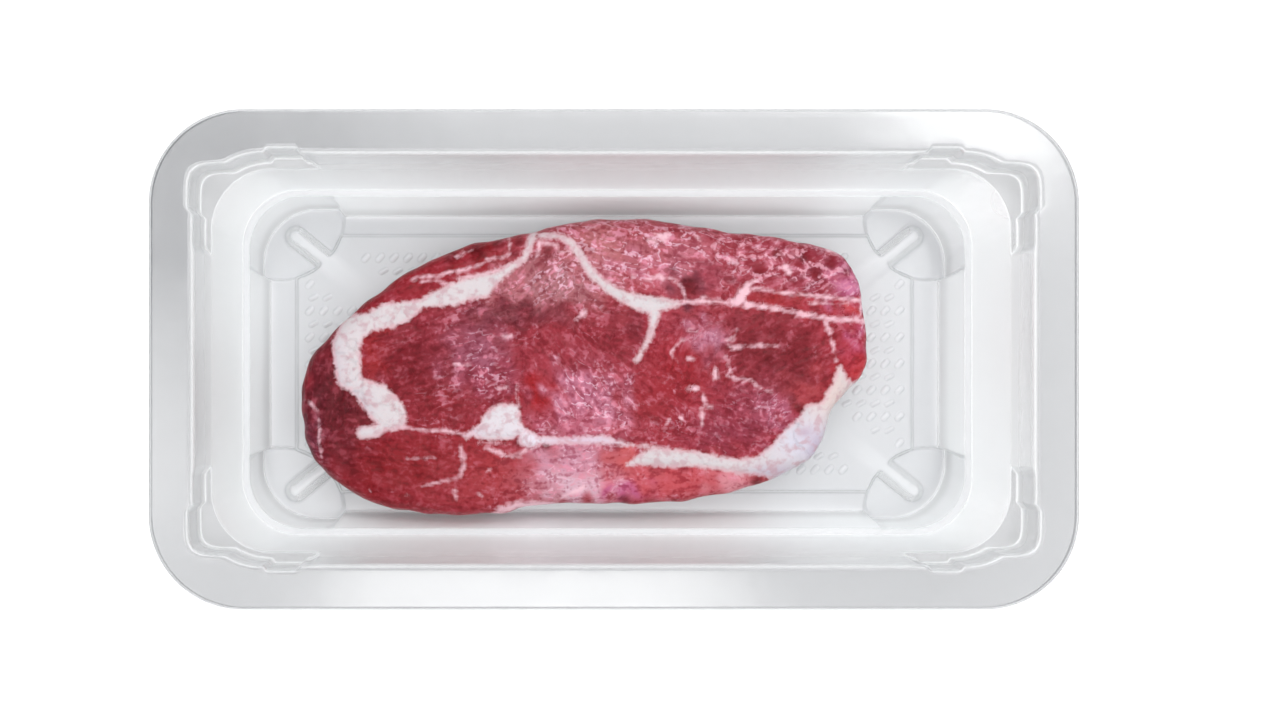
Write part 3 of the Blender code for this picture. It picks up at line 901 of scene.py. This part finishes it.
# %% Fine fat
FINE_STROKES = (
    # right of the meeting: the upper seam, its blob and its branches
    ((20, 17.3, 0.7), (24, 18, 0.6), (30, 18.2, 0.7), (36, 17.6, 0.7), (39, 18, 1.9), (40.2, 20.6, 1.8),
     (42.3, 23.4, 1.3), (44.5, 24.5, 0.5)),
    ((41, 17.3, 1.3), (46, 16.5, 0.9), (52, 15.6, 0.9), (58, 14.3, 0.9), (65, 13.2, 0.9), (79, 12.3, 1.1)),
    ((43.5, 22.2, 0.9), (48, 21.2, 0.6), (54, 20.5, 0.5), (60, 20, 0.6), (66, 19.2, 0.8), (78, 18.6, 0.9)),
    ((60, 17.6, 0.4), (66, 17.4, 0.5), (71, 17.6, 0.4)),
    ((65.3, 12, 0.9), (66.2, 9.2, 0.8), (67, 6.8, 0.6), (67.8, 4, 0.4), (68.4, 0, 0.4)),
    ((76.2, 12.5, 0.7), (76.4, 15, 0.5), (76.2, 18.5, 0.6)),
    ((28.4, 19.2, 1.0), (29.4, 19, 0.6)),
    # the curl above the seam
    ((7, 25.5, 0.7), (8.6, 25.8, 0.5)),
    ((11, 24.6, 0.5), (15, 25.2, 0.7), (19.5, 24.6, 0.6), (21.5, 23, 0.6), (22.8, 20.6, 0.7), (22.6, 18, 0.7)),
    # threads and flecks in the right-hand eye
    ((35.6, 4.8, 0.5), (37.5, 4.2, 1.0), (41, 4.9, 0.4), (46, 4.8, 0.5), (50.5, 4.8, 0.4)),
    ((35.6, 6.5, 0.3), (37.8, 7.6, 0.4), (38.6, 9.5, 0.3)),
    ((35.6, -4, 0.5), (38.5, -5, 0.6), (42.5, -5.2, 0.6), (44.5, -7, 0.6), (47, -8.4, 0.4), (50, -9.6, 0.3)),
    ((32, -2.2, 0.7), (32.2, -4.6, 0.8)),
    ((24.5, -8, 1.2), (26.2, -8, 1.0)),
    ((28.2, -9.8, 0.6), (28.6, -12.5, 0.7), (31, -13.6, 0.6)),
    ((28, -14.5, 0.5), (28.3, -18.8, 0.5)),
    ((23.8, 1.3, 0.7), (25.4, 0.9, 0.6)),
    ((21, -0.5, 0.3), (18.6, 2.8, 0.3), (22.3, 6.6, 0.5)),
    ((24, 9.6, 0.6), (26.5, 9.2, 0.5)),
    ((35.5, 1.5, 0.3), (36.2, -2, 0.4), (37.4, -4, 0.4)),
    ((17.6, -18.5, 0.5), (18.4, -17.2, 0.4)), ((21.8, -16.4, 0.5), (22, -18.6, 0.4)),
    # under the triangle: the loop round its red core, and the branches below
    ((-39, -24.4, 0.5), (-34, -24.2, 0.4), (-29.5, -24.3, 0.5)),
    ((-37, -25.6, 0.4), (-33.5, -27, 0.7), (-30, -28.2, 0.8), (-26.3, -28, 0.8), (-24.6, -26, 0.6)),
    ((-44, -25.6, 0.8), (-43.6, -28.5, 0.7), (-43.2, -31, 0.8), (-44.2, -34, 0.8), (-46.3, -35, 0.4)),
    ((-46.5, -35.2, 0.3), (-52, -36.3, 0.4), (-56, -37.4, 0.3)),
    ((-46, -38.3, 0.6), (-45.6, -41.3, 0.6)), ((-38.6, -39.5, 0.6), (-37.6, -40.6, 0.5)),
    ((-60, -28.8, 0.3), (-52, -28.6, 0.4)), ((-36, -32.6, 0.6), (-34.6, -31.6, 0.5)),
    ((-60.5, -40, 0.5), (-59.6, -40.8, 0.4)), ((-71.5, -38.4, 0.4), (-71, -39, 0.4)),
    # the thin line on the left of the triangle
    ((-62.5, -19.4, 0.5), (-57, -20.1, 0.5), (-50, -20.6, 0.7), (-45, -21.3, 0.6), (-42, -22, 0.7)),
    ((-27.4, -7.2, 0.4), (-27, -12.4, 0.5)),
    ((-33.5, -8, 0.4), (-30, -7.4, 0.4)),
    # threads in the upper left lobe
    ((-58.6, 24.8, 0.5), (-55, 25.6, 0.5), (-51, 25.8, 0.5), (-48, 26.8, 0.7), (-44, 27.4, 0.7),
     (-40.5, 28.4, 0.7), (-37.8, 29.2, 0.6)),
    ((-58, 24.2, 0.4), (-52, 24.4, 0.3), (-47, 22.9, 0.5)),
    ((-45, 24.9, 0.6), (-41, 25.6, 0.8), (-37, 26.2, 0.9), (-33, 27.2, 0.9)),
    ((-36.4, 30.8, 0.5), (-32, 31.2, 0.5), (-30, 32.4, 0.5), (-29.5, 35, 0.5), (-29.6, 37.4, 0.5)),
    ((-45.5, 31.2, 0.4), (-43.4, 33, 0.5), (-41, 33.8, 0.3)),
    ((-20.6, 36, 0.5), (-20.8, 33, 0.5), (-22, 30.6, 0.4)),
    ((-19, 35.6, 0.5), (-15, 35, 0.6), (-14.5, 32.8, 0.4), (-11.5, 33.4, 0.6)),
    # flecks in the big muscle, and the pale streaks at its left
    ((-9.4, 12.9, 0.5), (-8.2, 13.8, 0.7), (-6.8, 15, 0.8)), ((-31.6, 7.6, 0.5), (-29, 7.8, 0.5)),
    ((-46, -0.6, 0.4), (-41, -0.8, 0.4)), ((-33.6, -1.2, 0.4), (-32.8, -1.8, 0.4)),
    ((-86.4, -17.5, 0.4), (-86.6, -23, 0.5), (-86, -28.6, 0.3)),
    ((-90.2, -11.4, 0.4), (-88, -13.6, 0.5), (-87, -14.6, 0.4)),
    # the pale wedge and the bright streak on the lower rim
    ((-36, -47.5, 0.8), (-32, -44.4, 1.3), (-27, -43.2, 1.7), (-20, -43.4, 1.6), (-15.5, -43.2, 1.0)),
    ((-15.5, -41.8, 0.4), (-12, -39.6, 0.6), (-9.5, -38.6, 1.0), (-7, -37.4, 0.9)),
    # pale flecks on the upper right
    ((14, 38.4, 0.6), (16.4, 37, 1.2), (18, 38.6, 0.6)), ((12, 36.4, 0.6), (14.5, 36, 0.6)),
    ((26.5, 37.4, 0.8), (27.6, 36.6, 0.5)), ((36.6, 30.2, 0.8), (38.6, 29.4, 0.6)),
    ((53, 28.2, 1.0), (54.4, 26.6, 0.9)), ((66.6, 34.2, 0.9), (70.6, 33, 0.8)),
)
print(len(FINE_STROKES), "fine strokes")


# %% Fat at every vertex
def deepest(depths):
    return np.max(np.stack(depths), axis=0)


places = np.empty(len(steak.data.vertices) * 3)
steak.data.vertices.foreach_get("co", places)
places = places.reshape(-1, 3)
spots = places[:, :2] / MM
broad = deepest([stroke_depth(spots, s) for s in BROAD_STROKES] + [patch_depth(spots, p) for p in BROAD_PATCHES])
fine = deepest([stroke_depth(spots, s) for s in FINE_STROKES])
fat = np.maximum(broad, fine)
print("fat covers", round(100 * float(np.mean(fat > 0))), "% of the steak")

# %% [markdown]
# ## Muscle: zones of colour
#
# The cut runs through several muscles. Each has its own red, from the nearly black maroon at the
# left rim to the bright pink at the lower edge, and its own share of fine marbling. A *zone* is a
# soft oval of one colour. Zones are laid over each other in order, as washes of paint. A few pale
# lavender zones are partly marbling and partly painted reflection of the wet surface's sheen.

# %% Zones
Zone = namedtuple("Zone", "place size colour marbling strength", defaults=(1.0,))
ZONES = (
    Zone((-50, 0), (34, 24), (136, 38, 50), 0.35),
    Zone((-62, -32), (30, 13), (134, 22, 30), 0.12),
    Zone((-86, -8), (8, 20), (94, 18, 30), 0.08),
    Zone((-79, -14), (8, 9), (92, 18, 28), 0.08),
    Zone((-82, -24), (8, 8), (106, 18, 30), 0.08),
    Zone((-89, -22), (3, 8), (112, 42, 58), 0.3),
    Zone((-59, -1), (9, 10), (118, 20, 32), 0.1),
    Zone((-71, 3), (3.5, 8), (148, 34, 38), 0.2),
    # Partly marbling, partly painted reflection: the pale lavender of this zone stands in for the wet surface's
    # sheen.
    Zone((-38, 1), (9, 9), (156, 88, 108), 0.75),
    Zone((-36, -5), (9, 4), (150, 62, 82), 0.7),
    Zone((-50, -12), (12, 6), (136, 34, 44), 0.3),
    Zone((-36, 12), (7, 4), (132, 58, 74), 0.5),
    Zone((-16, 24), (13, 7), (168, 122, 128), 0.7),
    Zone((-28, 22), (8, 5), (170, 102, 110), 0.6),
    Zone((-14, 31), (6, 4), (138, 74, 80), 0.6),
    Zone((-24, 14), (14, 3.4), (96, 30, 42), 0.1),
    Zone((-16, 5), (14, 8), (146, 42, 54), 0.35),
    Zone((-10, -11), (9, 8), (190, 118, 142), 0.95),
    Zone((1, -13), (7, 7), (184, 114, 136), 0.9),
    Zone((-21, -10), (5, 9), (154, 20, 28), 0.0),
    Zone((-12, -19), (9, 3), (178, 88, 108), 0.6),
    Zone((3, 8), (9, 9), (138, 38, 50), 0.3),
    Zone((8, 11), (4, 4), (122, 34, 46), 0.2),
    Zone((13, -13), (9, 9), (150, 40, 50), 0.4),
    Zone((20, 11), (8, 5), (152, 48, 62), 0.3),
    Zone((23, -3), (9, 7), (150, 30, 40), 0.2),
    # Partly marbling, partly painted reflection: the pale lavender of this zone stands in for the wet surface's
    # sheen.
    Zone((30.5, 7), (4.4, 4.2), (214, 150, 178), 0.9, 0.85),
    Zone((46, 5), (14, 10), (122, 32, 42), 0.15),
    Zone((56, 1), (11, 11), (124, 30, 40), 0.15),
    Zone((52, -6), (7, 5), (120, 32, 42), 0.15),
    Zone((41, -12), (9, 7), (146, 54, 70), 0.4),
    Zone((36, -21), (14, 6), (136, 44, 62), 0.35),
    # Partly marbling, partly painted reflection: the pale lavender of this zone stands in for the wet surface's
    # sheen.
    Zone((50, -15), (5, 5), (176, 96, 120), 0.8, 0.8),
    Zone((60, -9), (6, 4), (164, 60, 66), 0.2),
    Zone((74, 3), (6, 6), (168, 42, 54), 0.15),
    # Partly marbling, partly painted reflection: the pale lavender of this zone stands in for the wet surface's
    # sheen.
    Zone((73, 7), (3, 3.5), (188, 92, 126), 0.6, 0.9),
    Zone((75, -3), (4, 3), (190, 60, 66), 0.1),
    Zone((8, 33), (26, 10), (168, 88, 98), 0.85),
    Zone((-3, 34), (6, 9), (180, 108, 112), 0.6),
    Zone((25, 32), (5, 4), (196, 120, 134), 0.9),
    Zone((8, 28), (12, 3), (194, 116, 134), 0.8),
    Zone((44, 30), (18, 8), (172, 78, 92), 0.7),
    Zone((62, 26), (9, 7), (152, 68, 84), 0.6),
    Zone((73, 23), (5, 6), (198, 114, 150), 0.6),
    Zone((24, 23.4), (5, 4), (78, 28, 44), 0.05),
    Zone((31, 25), (5, 4), (146, 50, 66), 0.3),
    Zone((15, 22), (5, 2.4), (184, 84, 98), 0.4),
    Zone((50, 18.4), (9, 1.6), (156, 38, 44), 0.1),
    Zone((63, 16.6), (8, 1.3), (172, 56, 68), 0.2),
    Zone((73, 15.6), (4, 1.8), (186, 54, 58), 0.1),
    Zone((-62, 25), (13, 5), (138, 18, 28), 0.12),
    Zone((-72, 17), (4, 4), (128, 20, 28), 0.1),
    Zone((-40, 33), (10, 4), (136, 12, 22), 0.08),
    Zone((5, -36), (34, 5), (202, 96, 104), 0.5),
    Zone((-30, -33), (12, 7), (164, 50, 56), 0.25),
    Zone((-12, -31), (10, 7), (206, 148, 168), 0.8),
    Zone((-9, -38), (9, 4), (216, 178, 192), 0.7),
    Zone((5, -38.5), (6, 2.4), (190, 100, 148), 0.3),
    Zone((22, -36), (16, 4), (194, 78, 86), 0.3),
    Zone((38, -35.5), (6, 4), (222, 150, 160), 0.5, 0.8),
    Zone((5, -28), (4, 2.6), (202, 96, 98), 0.2),
)
DARK_CELLS = (      # small deep red cells: place and radius in mm
    (-39, 33.6, 2.6), (-33, 35.6, 2.0), (-26.6, 36, 1.5), (-47, 31.6, 2.4), (-28, 32.6, 1.4),
    (-17.8, 33, 1.4), (57, -13.4, 1.6), (55.2, -11.4, 1.4), (58.2, -14.4, 1.0), (-27.4, -24.4, 1.2),
    (-18.6, -25.2, 1.2), (5, -41.6, 1.8), (45, -35.8, 1.8), (48, 0.4, 2.2), (24.4, 22.6, 2.8), (58.6, 31.6, 1.8), (66.4, 29.4, 1.9), (50.4, 32.4, 1.6),
    (71.6, 27, 1.4), (45, 27.4, 1.7), (62, 26.4, 1.6),
)
DARK_RED = (104, 16, 26)
SHADE = 0.70        # the colours above are as they look in this light


rng = np.random.default_rng(11)


def waves(position, wavelength, count=24):
    """Smooth irregular bumps of about one height unit, from a sum of waves in random directions."""
    turns = rng.uniform(0, 2 * math.pi, count)
    tilt = rng.normal(0, 0.5, count)
    pitch = 2 * math.pi / (wavelength * rng.uniform(0.7, 1.5, count))
    phase = rng.uniform(0, 2 * math.pi, count)
    total = np.zeros(len(position))
    for k in range(count):
        along = position[:, 0] * math.cos(turns[k]) + position[:, 1] * math.sin(turns[k])
        total += np.cos((along + tilt[k] * position[:, 2]) * pitch[k] + phase[k])
    return total / math.sqrt(count / 2)


def wavy_spots(amount, wavelength):
    """The places of the vertices, moved about so that what is laid by them gets uneven borders."""
    flat = spots @ np.eye(2, 3)
    return spots + amount * np.column_stack((waves(flat, wavelength), waves(flat, wavelength)))


def lay_zones():
    """The linear colour of the meat, and its share of marbling, at every vertex."""
    ragged = wavy_spots(1.5, 7.0)
    colour = np.tile(linear(160, 48, 60)[:3], (len(spots), 1))
    marbling = np.full(len(spots), 0.4)
    for zone in ZONES:
        off = (ragged - zone.place) / zone.size
        wash = zone.strength * np.exp(-(off ** 4).sum(axis=1) ** 0.5)
        colour += (np.array(linear(*zone.colour)[:3]) - colour) * wash[:, None]
        marbling += (zone.marbling - marbling) * wash
    for x, y, radius in DARK_CELLS:
        wash = 0.85 * np.exp(-(((spots - (x, y)) / radius) ** 2).sum(axis=1) ** 1.5)
        colour += (np.array(linear(*DARK_RED)[:3]) - colour) * wash[:, None]
        marbling *= 1 - wash
    return colour, marbling


meat_colour, marbling = lay_zones()
meat_colour = meat_colour * SHADE
print(len(ZONES), "zones and", len(DARK_CELLS), "dark cells")

# %% The web of the upper right
WEB_PATCHES = ((55, 29, 18, 7), (38, 33, 7, 5))      # place and half sizes in mm


def lay_web():
    """Where pale lines wrap dark cells, from 0 to 1."""
    return deepest([np.exp(-(((spots - (x, y)) / (half_x, half_y)) ** 4).sum(axis=1))
                    for x, y, half_x, half_y in WEB_PATCHES])


web_share = lay_web()
print("a web covers", round(100 * float(np.mean(web_share > 0.5))), "% of the steak")

# %% [markdown]
# The fat is not one white either. It is warm where it is thick at the right rim, and faintly
# lavender where it is thin and lets the meat show through.

# %% Colours of the fat
FAT_ZONES = (
    Zone((68, -10), (8, 9), (226, 206, 203), 0),
    Zone((58, -24), (9, 7), (221, 217, 231), 0),
    Zone((63, -26), (3, 6), (204, 190, 210), 0),
    Zone((50, -33), (8, 2.5), (208, 196, 212), 0),
    Zone((59, -21), (2.4, 1.6), (204, 184, 200), 0),
    Zone((-10, -23.4), (16, 2.5), (226, 208, 228), 0),
    Zone((-30, -18), (12, 8), (230, 222, 228), 0),
    Zone((-23, -23), (4, 4), (238, 230, 242), 0),
    Zone((-50, -20.5), (12, 2.2), (220, 196, 214), 0),
    Zone((-82, -2), (3.5, 12), (216, 204, 212), 0),
    Zone((-74, -14), (4, 6), (214, 202, 210), 0),
)


def lay_fat():
    colour = np.tile(linear(222, 213, 216)[:3], (len(spots), 1))
    for zone in FAT_ZONES:
        off = (spots - zone.place) / zone.size
        wash = np.exp(-(off ** 2).sum(axis=1))
        colour += (np.array(linear(*zone.colour)[:3]) - colour) * wash[:, None]
    return colour


fat_colour = lay_fat() * 0.64

# %% [markdown]
# ## Grain and relief
#
# Muscle is a bundle of fibres, and the knife shows them as a grain that runs its own way in each
# muscle. Each vertex gets a place in grain space: mm along the fibres, across them, and in depth.
# Noise that is stretched along the first of these becomes fibres. The relief then moves the
# vertices: muscles bulge a little, seams sink, and the fat stands slightly proud.

# %% Grain
GRAIN = (           # place, reach in mm, and the fibres' direction in degrees
    ((-50, 0), 26, 14), ((-12, -6), 16, -48), ((12, -12), 12, -40), ((50, 2), 18, 28), ((24, 2), 9, 70),
    ((36, -20), 14, -20), ((10, 34), 26, -12), ((55, 29), 16, 20), ((-60, -32), 26, -8),
    ((0, -36), 30, 4), ((-86, -8), 12, 84), ((-20, 26), 12, 40), ((-60, 25), 14, 30),
)


def grain_places():
    """Each vertex's place along the grain, across it and in depth, in mm."""
    ragged = wavy_spots(2.0, 6.0)
    near = np.stack([np.exp(-((ragged - place) ** 2).sum(axis=1) / reach ** 2) for place, reach, _ in GRAIN])
    angle = np.radians([angle for _, _, angle in GRAIN])[near.argmax(axis=0)]
    along = spots[:, 0] * np.cos(angle) + spots[:, 1] * np.sin(angle)
    across = -spots[:, 0] * np.sin(angle) + spots[:, 1] * np.cos(angle)
    return np.column_stack((along, across, places[:, 2] / MM))


grain = grain_places()

# %% Relief
def lobe_rise():
    """Muscles that stand proud of the cut face and hollows between them, in mm."""
    lobes = ((-45, 2, 30, 1.1), (42, 2, 24, 1.0), (10, 31, 22, 0.6), (-70, -28, 24, 0.4), (4, -34, 20, -0.8),
             (60, -24, 18, -1.2), (66, 26, 16, 0.4))
    return sum(height * np.exp(-((spots - (x, y)) ** 2).sum(axis=1) / reach ** 2)
               for x, y, reach, height in lobes)


def shape_steak():
    middle = (steak_low.z + steak_high.z) / 2
    upper = climb(places[:, 2], middle, steak_high.z - 3.0 * MM)
    normal = np.empty(len(places) * 3)
    steak.data.vertices.foreach_get("normal", normal)
    normal = normal.reshape(-1, 3)
    seam = np.exp(-(fat / 1.3) ** 2) * climb(fine, 2.0, -0.5)
    proud = 0.32 * climb(fat, 0.2, 2.4) - 0.30 * seam
    bundles = 0.13 * waves(grain * (0.45, 1, 1), 3.6) + 0.07 * waves(grain * (0.3, 1, 1), 1.9)
    bundles *= 1 - 0.75 * climb(fat, -0.5, 0.5)
    slow = 0.22 * waves(spots @ np.eye(2, 3), 17.0)
    side = 1 - np.abs(normal[:, 2])
    rim = 0.18 * side * (waves(np.column_stack((spots, grain[:, 2] * 0.4)), 9.0) - 0.5)
    lift = (lobe_rise() + proud + bundles + slow) * upper
    moved = places.copy()
    moved[:, 2] += lift * MM * np.abs(normal[:, 2])
    moved += normal * ((rim + bundles * 0.25 * side) * MM)[:, None]
    return np.clip(moved, steak_low, steak_high)


places = shape_steak()
steak.data.vertices.foreach_set("co", places.ravel())
steak.data.update()
print("the steak is", ((places.max(0) - places.min(0)) / MM).round(1), "mm")


# %% Hand the numbers to the shader
def set_attribute(name, kind, field, values):
    attribute = steak.data.attributes.new(name, kind, "POINT")
    attribute.data.foreach_set(field, np.ascontiguousarray(values, np.float32).ravel())


opaque = np.ones((len(spots), 1))
set_attribute("broad_fat", "FLOAT", "value", broad)
set_attribute("fine_fat", "FLOAT", "value", fine)
set_attribute("marbling", "FLOAT", "value", marbling)
set_attribute("web", "FLOAT", "value", web_share)
set_attribute("grain", "FLOAT_VECTOR", "vector", grain)
set_attribute("meat_colour", "FLOAT_COLOR", "color", np.hstack((meat_colour, opaque)))
set_attribute("fat_colour", "FLOAT_COLOR", "color", np.hstack((fat_colour, opaque)))

# %% [markdown]
# ## Raw meat
#
# The shader mixes three skins: lean, marbling and fat. The lean is its zone's colour, broken up by
# soft patches, dark pores and fibres. Marbling is a web of pale lines round small cells, with
# flecks between them, as strong as the zone asks. Where marbling is strong, small pale specks are
# painted highlights of the wet surface, mixed with pale strands along the grain. Broad fat has a
# ragged, pinkish edge, and thin threads of fat let the red below show through. All of it is wet,
# with a thin, soft coat.


# %% Make the meat
def make_meat():
    finish = Finish("raw_meat", IOR=1.38, Specular_IOR_Level=0.12, Coat_Weight=0.10, Coat_Roughness=0.12,
                    Coat_IOR=1.33, Subsurface_Weight=0.10, Subsurface_Radius=(1.0, 0.35, 0.25),
                    Subsurface_Scale=0.0015)
    place = finish.scaled(finish.node("ShaderNodeTexCoord", output="Object"), (1000, 1000, 1000))
    sway = finish.noise(place, 0.22, 2.0, output=1)
    bent = finish.scaled(sway, (2.4, 2.4, 2.4), place)
    grain_place = finish.attribute("grain", "Vector")
    broad_depth = finish.attribute("broad_fat")
    fine_depth = finish.attribute("fine_fat")
    marbled = finish.attribute("marbling")

    wide = finish.noise(place, 0.09, 2.0, 0.5)
    patches = finish.noise(bent, 0.26, 2.0, 0.5)
    ragged = finish.noise(bent, 0.50, 2.0, 0.5)
    small = finish.noise(bent, 0.75, 1.0, 0.5)
    streak = finish.noise(finish.scaled(grain_place, (0.36, 1.0, 0.6)), 0.60, 1.0, 0.5)
    mottle = 0.4 * streak + 0.35 * small + 0.25 * patches
    cells = finish.node("ShaderNodeTexVoronoi", {"feature": "DISTANCE_TO_EDGE"}, {"Vector": finish.scaled(bent, (0.75, 1.05, 1.0)), "Scale": 0.20})
    webbed = finish.attribute("web")
    web = webbed * (cells + 0.8 * (ragged - 0.5)).rise(0.13, 0.02) * (0.25 + 0.75 * small.rise(0.42, 0.56))
    much = (marbled + 0.7 * (wide - 0.5) + 0.6 * (patches - 0.5)).rise(0.20, 1.05)
    fleck = (mottle + 0.35 * (ragged - 0.5)).rise(0.50, 0.62)
    course = finish.noise(finish.scaled(grain_place, (0.42, 1.0, 0.6)), 0.36, 1.0, 0.5) - 0.5
    strand = (course * course).rise(0.0016, 0.0002) * small.rise(0.42, 0.52)
    # Painted highlight: small pale glints of the wet surface, with pale strands along the grain.
    painted_glints_and_strands = 0.40 * (0.5 * small + 0.5 * ragged).rise(0.60, 0.68) + 0.60 * strand

    lean = finish.attribute("meat_colour", "Color")
    lean = finish.mix(0.80 * mottle.rise(0.50, 0.38), lean, (0.62, 0.30, 0.38, 1), "MULTIPLY")
    lean = finish.mix((0.14 + 0.30 * much) * mottle.rise(0.50, 0.64), lean, linear(190, 76, 90))
    lean = finish.mix(0.66 * fleck * (0.06 + much), lean, linear(194, 130, 150))
    # Painted glints and strands, mixed into the lean where marbling is strong.
    lean = finish.mix(0.90 * painted_glints_and_strands * much, lean, linear(208, 174, 190))
    lean = finish.mix(0.60 * webbed * cells.rise(0.08, 0.30), lean, linear(116, 20, 32))
    lean = finish.mix(0.60 * web, lean, linear(204, 150, 164))
    fatty = finish.attribute("fat_colour", "Color")
    fatty = finish.mix(0.65 * (0.5 * ragged + 0.5 * patches).rise(0.46, 0.62), fatty, linear(166, 132, 138))
    fatty = finish.mix(0.5 * broad_depth.rise(1.5, 0.1), fatty, linear(190, 142, 150))

    thread = (fine_depth + 1.8 * (ragged - 0.5) + 1.8 * (streak - 0.5)).rise(-0.50, 1.30)
    in_broad = (broad_depth + 2.2 * (ragged - 0.5) + 1.0 * (small - 0.5)).rise(-0.70, 0.70)
    skin = finish.mix(0.90 * thread, lean, linear(208, 170, 180))
    finish.feed("Base Color", finish.mix(in_broad, skin, fatty))
    finish.feed("Roughness", 0.30 + 0.20 * small)
    finish.bump(0.8 * mottle + 0.3 * small, 0.0006, 0.6)
    return finish.material


steak.name = "steak_slice"
steak.data.materials.clear()
steak.data.materials.append(make_meat())
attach(steak, "root")
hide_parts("steak")
